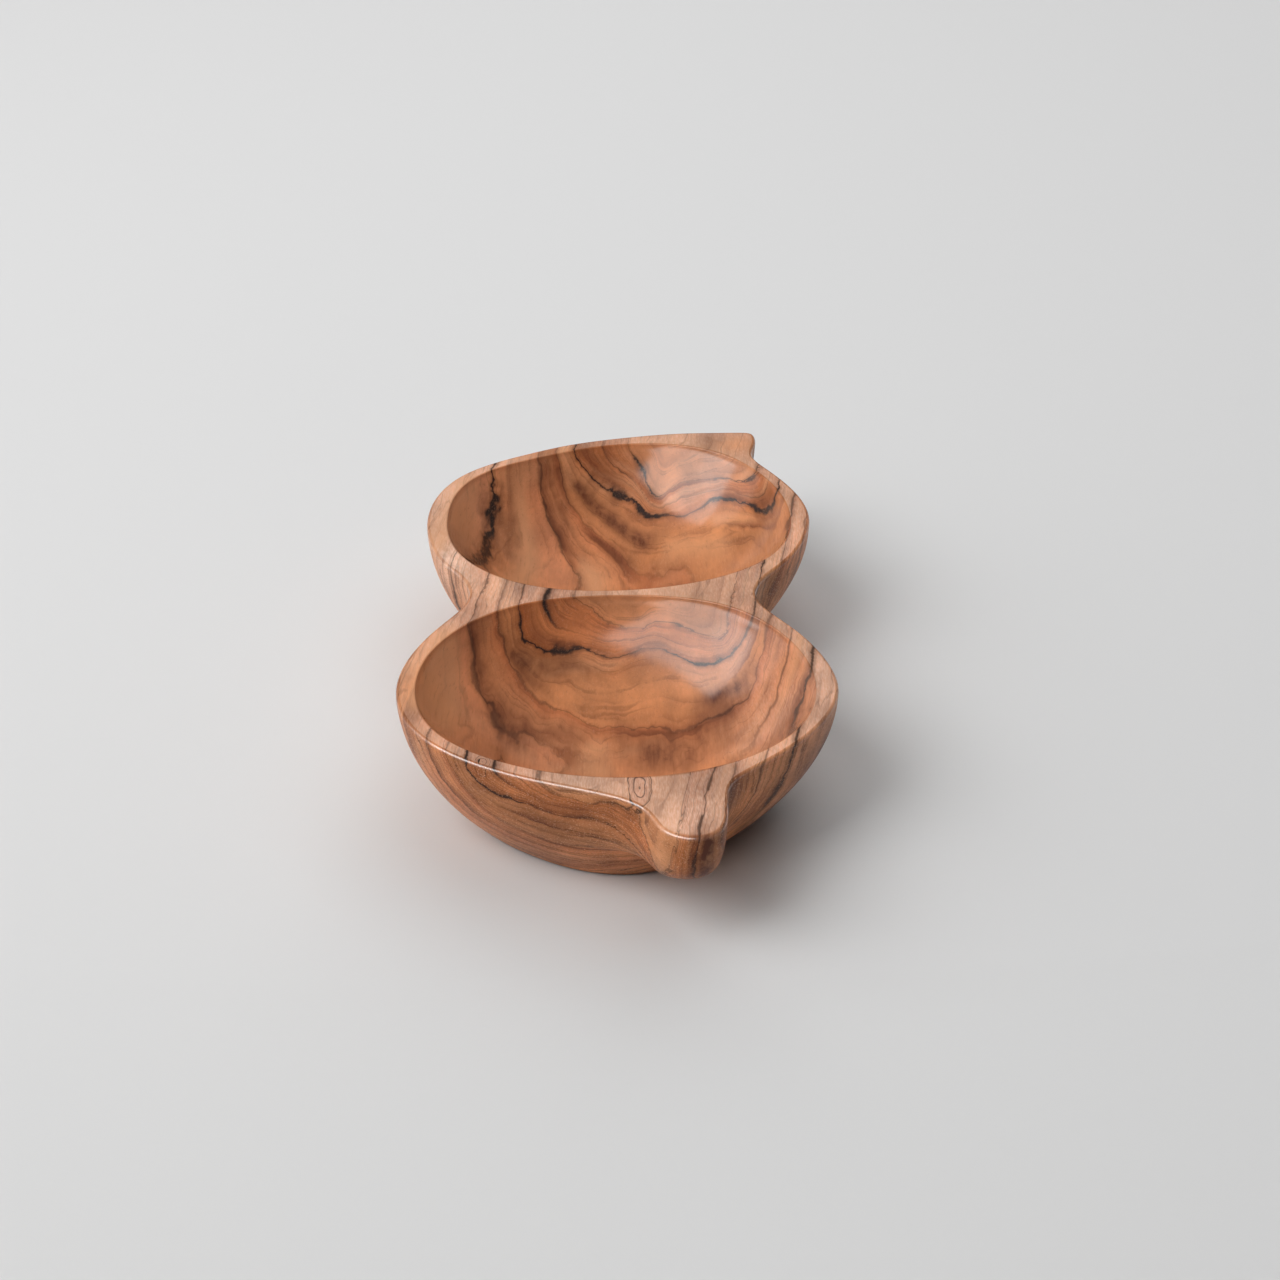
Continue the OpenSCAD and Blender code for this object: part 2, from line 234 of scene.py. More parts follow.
def bowlSurfaces():
    # every surface of the bowl as a grid of points, in mm. Outside: at height z the outline runs
    # from base to wall by the share 1 - (1 - z / height)^2, plus the tips' share of rim less
    # wall. Hollows: the compartment's outline times sin^(2/p), at a depth times cos^(2/p).
    # Rims and bases: straight lines between two rings.
    b = bowl
    height, edge = b["height"], b["outerEdge"]
    wall, rim, base, nearY, farY, right, left = bowlOutlines()
    count = len(rim)
    # places along the outline at even steps of length, with one at each side of the waist
    fine = np.linspace(right, right + count, count * 60 + 1)
    paces = sum(np.linalg.norm(np.diff(splineAt(c, fine), axis=0), axis=1) for c in (wall, rim))
    length = np.append(0, np.cumsum(paces))
    turnAt = np.interp(left, fine, length)
    stops = np.concatenate([np.linspace(0, turnAt, b["farSteps"] + 1)[:-1],
                            np.linspace(turnAt, length[-1], b["nearSteps"] + 1)[:-1]])
    u = np.interp(stops, length, fine)

    def outline(z):
        lean = 1 - (1 - z / height) ** 2
        return splineAt(base + (wall - base) * lean + (rim - wall) * tipShare(z), u)

    # the outside, base to rim: eased foot, wall with the tips growing out of it, rounded edge
    turn = np.radians(np.linspace(0, 90, b["edgeLevels"] + 1))
    foot = b["footEdge"]
    rows = [(foot * (1 - math.cos(t)), foot * (1 - math.sin(t))) for t in turn[:-1]]
    steps = np.linspace(0, 1, b["wallLevels"] + 1)[:-1]
    rows += [(foot + (height - edge - foot) * s, 0) for s in steps]
    rows += [(height - edge + edge * math.sin(t), edge * (1 - math.cos(t))) for t in turn]
    outside = np.stack([np.column_stack([drawnIn(outline(z), inset), np.full(len(u), z)])
                        for z, inset in rows])

    def lobeRing(ring, side):
        # one lobe's share of a ring of the outside, closed by a straight line over the waist
        split = b["farSteps"]
        part = ring[: split + 1] if side == "far" else np.concatenate([ring[split:], ring[:1]])
        share = np.linspace(0, 1, b["webSteps"] + 1)[1:-1, None]
        return np.concatenate([part, part[-1] * (1 - share) + part[0] * share])

    flatWall = np.column_stack([splineAt(wall, u), np.full(len(u), height)])
    surfaces = {"outside": outside}
    for side, y in (("near", nearY), ("far", farY)):
        outer = lobeRing(outside[-1], side)
        footRing = lobeRing(outside[0], side)
        # the hollow's points face the outline's, by their angle about the lobe's middle
        guide = lobeRing(flatWall, side)[:, :2] - [0, y]
        angle = np.unwrap(np.arctan2(guide[:, 1], guide[:, 0]))
        ovals = lobePoints(y, b[side + "Width"], b[side + "Length"], b[side + "Reach"],
                           np.arange(0, 360, 30), np.zeros(12), np.full(12, 30))
        dense = splineAt(ovals, np.linspace(0, 12, 2401)[:-1])
        bearing = np.unwrap(np.arctan2(dense[:, 1] - y, dense[:, 0]))
        reach = np.linalg.norm(dense - [0, y], axis=1)
        start = bearing[0]
        whole = 2 * np.pi
        reachAt = np.interp(np.mod(angle - start, whole), np.append(bearing, start + whole) - start,
                            np.append(reach, reach[0]))
        curve = np.stack([np.cos(angle), np.sin(angle)], -1) * reachAt[:, None] + [0, y]
        size = len(curve)

        def level(points, z):
            return np.column_stack([points, np.full(size, z)])

        # eased inner edge, then the hollow: depth and width follow |x|^p + |z|^p = 1, and the
        # width also narrows evenly with the depth
        ease = b["innerEdge"]
        rings = [level(drawnIn(curve, -ease * (1 - math.sin(t))), height - ease * (1 - math.cos(t)))
                 for t in turn]
        power = 2 / b["hollowPower"]
        for t in np.radians(np.linspace(90, 0, b["hollowLevels"] + 1)[1:]):
            drop = math.cos(t) ** power
            out = math.sin(t) ** power * (1 - b["hollowLean"] * drop)
            rings.append(level((curve - [0, y]) * out + [0, y], height - b["hollowDepth"] * drop))
        surfaces[side + "Hollow"] = np.stack(rings)
        # the flat rim: straight lines from the outer edge to the inner, closer at both ends
        share = (1 - np.cos(np.linspace(0, np.pi, b["rimColumns"] + 1))) / 2
        share = share[:, None, None]
        surfaces[side + "Rim"] = outer * (1 - share) + rings[0] * share
        # the base: the foot's ring drawn in to the lobe's middle
        share = np.linspace(0, 1, b["baseColumns"] + 1)[:, None, None]
        surfaces[side + "Base"] = np.array([0, y, 0]) * share + footRing * (1 - share)
    edge = splineAt(rim, u)
    box = (edge.min(0) + edge.max(0)) / 2
    return surfaces, np.array([box[0], box[1], 0])


def handWave(points):
    # slow hand-made unevenness, about -1 to 1: the sum of length / 90 times the sine of 2 pi
    # times the way along a seeded direction over the length, each with a phase of its own
    random = np.random.default_rng(bowl["waveSeed"])
    total = np.zeros(len(points))
    for wave in bowl["waves"]:
        direction = random.normal(size=3)
        direction /= np.linalg.norm(direction)
        total += np.sin(points @ direction * 2 * np.pi / wave + random.uniform(0, 6.28)) * wave / 90
    return total


# The growth rings are nested round the pith, which runs above the rim, a little off the bowl's
# length. Each row is one ring, from the pith outward, and each number its distance from the
# pith in mm every 15 degrees, from level on the left through straight down to level on the
# right. Ink is the width of the dark mineral line along that ring, in mm.
rings = {
    "pithX": 3, "pithAbove": 10, "pithSlantX": 0.14, "pithSlantZ": 0.05,
    "near": [[24, 23.5, 22.2, 20.6, 20.3, 20.3, 20.4, 21.3, 21.8, 26.5, 41, 41.3, 41],
             [33, 33, 33, 30, 27, 25.5, 24.5, 24.5, 26.5, 35.5, 44.5, 45, 45],
             [43, 43, 43.5, 37, 31.2, 29.8, 28.2, 27.4, 30.5, 40.8, 47.5, 49, 49],
             [50.5, 50.3, 49.8, 49.2, 47.4, 46.3, 46.2, 48.2, 52.2, 55.4, 58, 56, 57],
             [58, 58, 58.2, 56.8, 53.4, 52, 52, 54, 58, 62.5, 66, 65.4, 65],
             [74, 74, 75, 75, 72, 68, 66, 67, 70, 73, 74, 74, 75.5]],
    "nearInk": [[0.4, 0.4, 0.45, 0.5, 0.45, 0.4, 0.4, 0.45, 0.5, 0.6, 0.5, 0.45, 0.4],
                [1.0, 1.3, 0.65, 0.3, 0.2, 0.15, 0.15, 0.15, 0.15, 0.15, 0.2, 0.2, 0.2],
                [0.5, 0.6, 1.6, 1.6, 0.8, 0.6, 0.55, 0.5, 0.6, 1.0, 0.7, 0.6, 0.75],
                [0.4, 0.45, 0.45, 0.4, 0.4, 0.35, 0.35, 0.4, 0.4, 0.5, 0.45, 0.45, 0.6],
                [0.45, 0.5, 0.5, 0.45, 0.3, 0.15, 0.15, 0.15, 0.15, 0.2, 0.4, 0.5, 0.5],
                [0.3, 0.3, 0.2, 0.2, 0.2, 0.2, 0.2, 0.2, 0.2, 0.3, 0.7, 0.75, 0.6],
                [0.25, 0.25, 0.2, 0.2, 0.2, 0.2, 0.2, 0.2, 0.2, 0.3, 0.7, 0.75, 0.6]],
    "far": [[20.5, 20, 18.3, 18, 21.3, 23, 19.5, 17.3, 18, 20.5, 24.6, 34, 40],
            [31, 30, 26.5, 24, 25.2, 26.8, 24, 22.5, 23, 25, 30, 41, 44],
            [42.8, 39.3, 34.6, 30.2, 29.2, 30, 27.6, 26.8, 27, 28.3, 33.5, 45, 48.5],
            [48.5, 47, 45.5, 44, 42.5, 41.5, 40, 39, 40, 43, 48, 54, 56],
            [55.6, 55.8, 55.1, 53.6, 51.5, 50.5, 49, 49, 51, 55, 57, 60, 62],
            [73, 72.5, 74, 74, 70, 66, 64, 65, 68, 71, 73, 72, 72]],
    "farInk": [[0.3, 0.4, 0.8, 1.3, 1.1, 0.6, 0.4, 0.35, 0.35, 0.4, 0.6, 0.7, 0.5],
               [0.4, 0.4, 0.5, 0.3, 0.2, 0.2, 0.2, 0.2, 0.2, 0.2, 0.3, 0.4, 0.3],
               [0.8, 1.1, 1.4, 1.5, 1.4, 1.0, 0.6, 0.55, 0.6, 0.8, 1.3, 1.3, 0.7],
               [0.4, 0.5, 0.4, 0.3, 0.2, 0.2, 0.2, 0.2, 0.2, 0.2, 0.3, 0.5, 0.6],
               [0.4, 0.5, 0.5, 0.45, 0.3, 0.2, 0.15, 0.15, 0.15, 0.15, 0.2, 0.3, 0.4],
               [0.4, 2.6, 3.0, 2.0, 0.5, 0.3, 0.2, 0.2, 0.2, 0.2, 0.4, 0.5, 0.4],
               [0.25, 0.25, 0.2, 0.2, 0.2, 0.2, 0.2, 0.2, 0.2, 0.2, 0.4, 0.5, 0.4]],
    # toward the front tip the rings stand upright: between these y, depth comes to count less
    "uprightFrom": -116, "uprightTo": -140, "upright": 0.8,
    # near tables hold up to this y, far tables from the other one on
    "nearTo": 0, "farFrom": 125,
    # two more rings lie so many mm beyond the last, and the last row of ink goes with them
    "beyond": (16, 40),
    # how softly a stain ends, in degrees and in mm of y
    "softAngle": 16, "softY": 14,
    # stains, with painted shade and painted light among them: ring, mm inward, mm outward,
    # angles from and to, y from and to, how dark (below 0 is a pale patch)
    "stainsAndPaintedLight": [
        (5.0, 3.6, 0.7, -84, -32, -60, 12, 0.56), (3.85, 2.2, 1.0, -66, -38, -34, 8, 0.5),
        (3.3, 1.6, 1.6, -46, -18, -30, 0, 0.45), (4.35, 1.5, 2.5, -30, -12, -56, -26, 0.45),
        (4.5, 2, 4, 8, 40, -60, -36, 0.35), (3.75, 2.5, 1.2, 45, 57, -32, -16, 0.4),
        (4.2, 6, 5, -4, 60, -52, 6, 0.35), (3.75, 3, 3.2, 36, 66, -40, -8, 0.45),
        (3.5, 2.4, 2, -62, -30, -50, -6, 0.5), (5.95, 1.3, 0.6, 60, 84, -80, -5, 0.65),
        (5.35, 2, 2, 60, 84, -60, -8, -0.4), (4.6, 1, 1, 55, 84, -60, 0, 0.3),
        # painted light: the pale rows at angles from -90 to -46 (the last here, both in the next
        # row, and the last of the row with ring 3.7) brighten the shaded left inner walls and paint
        # a sheen on the far lobe's left outer wall
        (2.6, 2, 1, -68, -40, -14, 8, 0.35), (5.35, 2.5, 5, -82, -48, -72, -14, -0.4),
        (6.5, 5, 8, -90, -60, 44, 112, -0.45), (5.6, 4, 4, -84, -56, -70, -14, -0.3),
        (4.95, 1.6, 0.8, -88, -42, 92, 150, 0.55), (4.5, 1.2, 1.2, -88, -50, 96, 150, 0.45),
        (4.1, 1.2, 1.6, -88, -60, 104, 150, 0.55), (3.6, 3.0, 2.2, -74, -6, 92, 150, 0.7),
        (4.12, 2.2, 0.9, -48, -20, 78, 114, 0.7), (4.75, 2, 2, -46, -24, 72, 100, -0.5),
        (3.7, 2, 3, 0, 45, 82, 115, -0.35), (5.45, 2.5, 3, -80, -46, 60, 134, -0.5),
        (2.75, 3.2, 0.7, 50, 80, 92, 132, 0.55), (2.6, 3, 1, -85, -50, 122, 150, 0.35),
        (3.35, 1.5, 1.5, 35, 66, 80, 120, -0.35), (6.2, 2, 1, -84, -62, 96, 125, 0.4),
        (3.4, 6, 8, -75, -5, -160, -95, 0.3), (5.2, 3, 5, -70, 40, -160, -90, 0.3),
        # painted shade, partly: these two dark rows, on the near lobe's right outer wall and the
        # right of the tip's end, darken faces turned from the light, over darker wood
        (7.0, 10, 30, 40, 75, -150, -35, 1.0), (3.35, 2.6, 3.4, 50, 100, -175, -140, 0.95),
        (4.6, 2, 3, -14, 4, -58, -32, -0.4), (3.7, 3, 3, 55, 80, 50, 95, 0.2),
        (2.2, 3, 6, -20, 14, -150, -114, 0.4)],
}


def ringPlace(points):
    # angle about the pith, 0 straight down, and distance from it
    x = points[:, 0] - rings["pithSlantX"] * points[:, 1] - rings["pithX"]
    front = (points[:, 1] - rings["uprightFrom"]) / (rings["uprightTo"] - rings["uprightFrom"])
    front = np.clip(front, 0, 1) ** 2 * (3 - 2 * np.clip(front, 0, 1))
    down = (bowl["height"] - points[:, 2]) * (1 - rings["upright"] * front)
    down = down - rings["pithSlantZ"] * points[:, 1] + rings["pithAbove"]
    return np.degrees(np.arctan2(x, down)), np.hypot(x, down)


def ringTable(name, points, angle):
    # a table at each point: a Catmull-Rom curve between its entries, near and far blended
    place = np.clip(angle / 15 + 6, 0, 12 - 1e-6)
    low = np.floor(place).astype(int)
    t = place - low
    blend = np.clip((points[:, 1] - rings["nearTo"]) / (rings["farFrom"] - rings["nearTo"]), 0, 1)
    blend = blend * blend * (3 - 2 * blend)
    total = 0
    for side, share in (("near", 1 - blend), ("far", blend)):
        table = np.array(rings[side + name], float)
        p = [table[:, np.clip(low + k, 0, 12)] for k in (-1, 0, 1, 2)]
        total = total + share * (p[1] + 0.5 * t * (p[2] - p[0] + t * (
            2 * p[0] - 5 * p[1] + 4 * p[2] - p[3] + t * (3 * (p[1] - p[2]) + p[3] - p[0]))))
    return total


def ringValues(points):
    # per point: rings counted from the pith, which is the sum over all gaps of the share of the
    # gap that lies inside the point; mm from ring to ring; ink width; and stain, with painted shade
    # and painted light among it, the sum of bells exp(-(mm off the ring / reach)^2) within their
    # windows
    angle, distance = ringPlace(points)
    radii = ringTable("", points, angle)
    near, far = rings["beyond"]
    radii = np.vstack([radii[:1] * 0, radii, radii[-1:] + near, radii[-1:] + far])
    gaps = radii[1:] - radii[:-1]
    age = np.clip((distance - radii[:-1]) / gaps, 0, 1).sum(0)
    gap = np.take_along_axis(gaps, np.clip(age.astype(int), 0, len(gaps) - 1)[None], 0)[0]
    widths = ringTable("Ink", points, angle)
    nearest = np.clip(np.round(age).astype(int) - 1, 0, len(widths) - 1)
    ink = np.take_along_axis(widths, nearest[None], 0)[0]

    def window(value, low, high, soft):
        rise = np.clip((value - low) / soft + 0.5, 0, 1)
        fall = np.clip((high - value) / soft + 0.5, 0, 1)
        return rise * rise * (3 - 2 * rise) * fall * fall * (3 - 2 * fall)

    stain = np.zeros(len(points))
    for ring, inward, outward, low, high, start, stop, dark in rings["stainsAndPaintedLight"]:
        off = (age - ring) * gap
        shape = np.exp(-np.where(off < 0, off / inward, off / outward) ** 2)
        around = window(angle, low, high, rings["softAngle"])
        stain += dark * shape * around * window(points[:, 1], start, stop, rings["softY"])
    return {"ringAge": age, "ringGap": gap, "ink": ink, "stain": stain}


def weld(points, faces, values):
    # grids that share an edge get one vertex for each place, and quads with an edge of no
    # length become triangles
    place = np.round(points, 4)
    first, back = np.unique(place, axis=0, return_index=True, return_inverse=True)[1:]
    faces = back.reshape(-1)[faces]
    flat = np.sort(faces, axis=1)
    corners = 4 - (flat[:, 1:] == flat[:, :-1]).sum(1)
    quads = faces[corners == 4]
    rest = faces[corners == 3]
    triangles = rest[rest != np.roll(rest, -1, 1)].reshape(-1, 3)
    return points[first], quads.tolist() + triangles.tolist(), values[first]


def makeBowl():
    # the grids welded into one mesh; each point then moves along its normal by the hand-sanded
    # unevenness, and takes the values of the rings and the finish at its place
    surfaces, middle = bowlSurfaces()
    points, faces, finish = [], [], []
    start = 0
    for name, grid in surfaces.items():
        rows, columns = grid.shape[:2]
        quads = gridFaces(rows, columns, start, True)
        # rims and bases run inward from the outside's ends, hollows go on from the rims
        if name.endswith("Base"):
            quads = quads[:, ::-1]
        points.append(grid.reshape(-1, 3))
        shares = next(pair for end, pair in bowl["finish"].items() if name.endswith(end))
        finish.append(np.tile(shares, (rows * columns, 1)))
        faces.append(quads)
        start += rows * columns
    points = np.concatenate(points) - middle
    points, faces, finish = weld(points, np.concatenate(faces), np.concatenate(finish))
    # the outside, whose fine grain shows plainly, shines on its rounded top edge
    outside = finish[:, 2] > 0.9
    under = bowl["height"] - points[:, 2]
    finish[outside & (under < bowl["outerEdge"]) & (under > 0.01), 0] = bowl["edgeLacquer"]
    # paler patches, from sanding and from a painted sheen, added to the finish's second value
    for place, size, pale in bowl["sandedAndPaintedSheenPatches"]:
        off = np.linalg.norm((points - place) / size, axis=1)
        finish[:, 1] += pale * np.exp(-off**2)
    mesh = bpy.data.meshes.new("carvedTeakBowl")
    mesh.from_pydata(points * mm, [], faces)
    mesh.validate()
    mesh.update()
    # sanded walls: moved along their normals, not at all near the rim and the foot
    normals = np.empty(len(mesh.vertices) * 3)
    mesh.vertices.foreach_get("normal", normals)
    normals = normals.reshape(-1, 3)
    below = (bowl["height"] - bowl["waveStart"] - points[:, 2]) / bowl["waveGrows"]
    fade = np.clip(below, 0, 1) * np.clip(points[:, 2] / bowl["waveEnds"], 0, 1)
    points = points + normals * (handWave(points) * fade * bowl["handWave"])[:, None]
    # the finer curve runs a hair outside the CAD's chords, so it is fitted to the CAD's box
    low, high = (np.array(v) / mm for v in cadBox)
    points[:, :2] *= np.minimum(1, (high - low)[:2] / (points.max(0) - points.min(0))[:2])
    mesh.vertices.foreach_set("co", (points * mm).ravel())
    values = ringValues(points)
    values["ink"][outside] = np.minimum(values["ink"][outside], bowl["outsideInk"])
    # painted contact shade: the foot's lowest mm is darkened through the stain value
    values["stain"] += bowl["footPaintedShade"] * np.clip(1 - points[:, 2] / bowl["footReach"], 0, 1)
    values.update(zip(("lacquer", "sanded", "grain"), finish.T))
    for name, column in values.items():
        mesh.attributes.new(name, "FLOAT", "POINT").data.foreach_set("value", column)
    mesh.polygons.foreach_set("use_smooth", [True] * len(mesh.polygons))
    mesh.update()
    piece = bpy.data.objects.new("teak_bowl", mesh)
    bpy.context.scene.collection.objects.link(piece)
    return piece


bowlPiece = makeBowl()
print("bowl drawn:", len(bowlPiece.data.vertices), "points")


def hexColor(text):
    # sRGB hex to linear
    value = [int(text[i:i + 2], 16) / 255 for i in (1, 3, 5)]
    return [v / 12.92 if v <= 0.04045 else ((v + 0.055) / 1.055) ** 2.4 for v in value] + [1]


def addNode(tree, kind, settings=None, links=None):
    # a node with its settings, and per input, by name, number or in a list from the first on, a
    # number, a colour, a node whose first output goes there, or (node, output)
    node = tree.nodes.new("ShaderNode" + kind)
    for key, value in (settings or {}).items():
        if key == "stops":
            ramp = node.color_ramp
            while len(ramp.elements) < len(value):
                ramp.elements.new(0.5)
            for element, (place, color) in zip(ramp.elements, value):
                element.position = place
                element.color = color
        else:
            setattr(node, key, value)
    links = dict(enumerate(links)) if isinstance(links, list) else links or {}
    for key, value in links.items():
        if isinstance(value, bpy.types.Node):
            tree.links.new(node.inputs[key], value.outputs[0])
        elif isinstance(value, tuple) and isinstance(value[0], bpy.types.Node):
            tree.links.new(node.inputs[key], value[0].outputs[value[1]])
        else:
            node.inputs[key].default_value = value
    return node


# Teak heartwood, carved, sanded and lacquered: orange brown in soft broad bands, with black
# mineral lines along some growth rings, brown stains beside them, fine pores and a satin gloss.
# painted shade and painted light ride on the stains, and a painted sheen on the pale sanded veil
teak = {
    # colour by ring
    "bands": [(0.0, "#d08b5b"), (0.95, "#cc8554"), (1.1, "#c17342"), (2.4, "#c97b48"),
              (2.95, "#ae6334"), (3.1, "#c17847"), (3.5, "#d08855"), (3.95, "#cc8351"),
              (4.05, "#c57547"), (4.5, "#db8e5c"), (4.95, "#d98b5a"), (5.1, "#dc8e61"),
              (5.6, "#e09463"), (6.0, "#cf895b"), (6.15, "#dd966b"), (7.0, "#df996e")],
    "ink": "#1c0f0a", "inkEdge": "#673619", "stain": "#5c2c15", "pale": "#e2a273",
    "smoke": "#7e4324", "sanded": "#f2cbb4", "thinLine": "#5c2e19", "lateWood": "#713a1e",
    "fleck": "#eeb48c", "pore": "#6a3a24",
    # noise fields: size in mm, how many times longer along the fibres, detail, roughness.
    # Pores and grit, some 0.2 mm in real teak, are drawn coarser so that they show.
    "fields": {"slow": (20, 2, 2, 0.5), "fast": (5, 2, 2, 0.5), "jag": (4.5, 1.6, 2, 0.55),
               "inkWidth": (11, 2, 2, 0.5), "blotch": (7, 3, 4, 0.6), "mottle": (16, 2, 4, 0.55),
               "fibre": (1.2, 16, 2, 0.6), "pores": (1.0, 18, 2, 0.7), "patch": (13, 4, 3, 0.5),
               "grit": (0.5, 6, 2, 0.6), "streaks": (2.4, 9, 3, 0.6)},
    # fields that run with the rings: how many changes per ring, mm along the ring, detail
    "alongRings": {"smoky": (1.5, 42, 3), "paler": (1.1, 38, 2), "thin": (3.2, 60, 2)},
    # smoky bands and fine growth lines per ring of the tables, and how each darkens outward
    "zones": 1.35, "zoneStart": 0.3, "lines": 4.6,
    "zoneRise": [(0.0, 0.75), (0.07, 0.1), (0.5, 0.3), (0.9, 0.85), (1.0, 1.0)],
    "lineRise": [(0.0, 0.5), (0.12, 0.06), (0.6, 0.12), (0.9, 0.7), (1.0, 1.0)],
    # how far in mm the rings stray slowly and fast; a noise times its swing, less half of the
    # swing, runs from about -1 to 1
    "straySlow": 1.7, "strayFast": 0.6, "swing": 3.2,
    # knots on the rim: middle and half size in mm; how uneven their loops are and how far apart
    "knots": [((8, -122, 50), (3.4, 9.5, 8)), ((-46, -106, 50), (2.2, 3.6, 4))],
    "knotWobble": 0.9, "loopEvery": 0.3,
    # between which two levels of its field an effect goes from one strength to another
    "swirl": [0.2, 1.7, 0.6, 0.0], "smoky": [0.42, 0.66, 0.0, 0.85],
    "paler": [0.5, 0.72, 0.0, 0.6], "veil": [0.35, 0.7, 0.3, 0.55],
    "linePatch": [0.4, 0.68, 0.1, 0.8], "lineLeast": [0.0, 0.5, 0.55, 0.1],
    "thin": [0.0, 0.022, 0.75, 0.0], "thinPatch": [0.35, 0.6, 0.1, 0.9],
    "shades": {"mottle": [0.28, 0.74, 0.74, 1.2], "fibre": [0.25, 0.75, 0.95, 1.04]},
    "tornBlotch": [0.34, 0.64, 0.8, 1.25], "tornStreaks": [0.35, 0.65, 0.85, 1.15],
    "sandedAndPaintedSheenOff": [0.0, 1.0, 1.0, 0.45], "palePatch": [-0.5, 0.0, 0.7, 0.0],
    "jagReach": [0.3, 2.4, 0.385, 1.98], "inkSwell": [0.34, 0.68, 0.25, 1.1], "inkLeast": 0.12,
    "inkStrength": [0.15, 0.9, 0.15, 0.95],
    "inkParts": {"inkEdge": [0.0, 5.0, 0.6, 0.0], "ink": [0.25, 1.5, 1.0, 0.0]},
    "loop": [0.0, 0.09, 0.75, 0.0], "loopsEnd": [1.2, 1.35, 1.0, 0.0],
    "flecks": [0.54, 0.68, 0.0, 0.4], "pores": [0.58, 0.74, 0.0, 0.4],
    # wood under the lacquer, and how deep in mm and how plainly its pores are sunk
    "roughness": [0.3, 0.7, 0.4, 0.55], "ior": 1.5, "specular": 0.14,
    "poreDepth": 0.1, "poreBump": 0.3, "coat": 0.95,
    # edges rubbed smooth, where the lacquer is over 1, shine more sharply
    "coatRoughness": [1.0, 1.5, 0.16, 0.13], "coatIor": [1.0, 1.5, 1.5, 1.9],
}


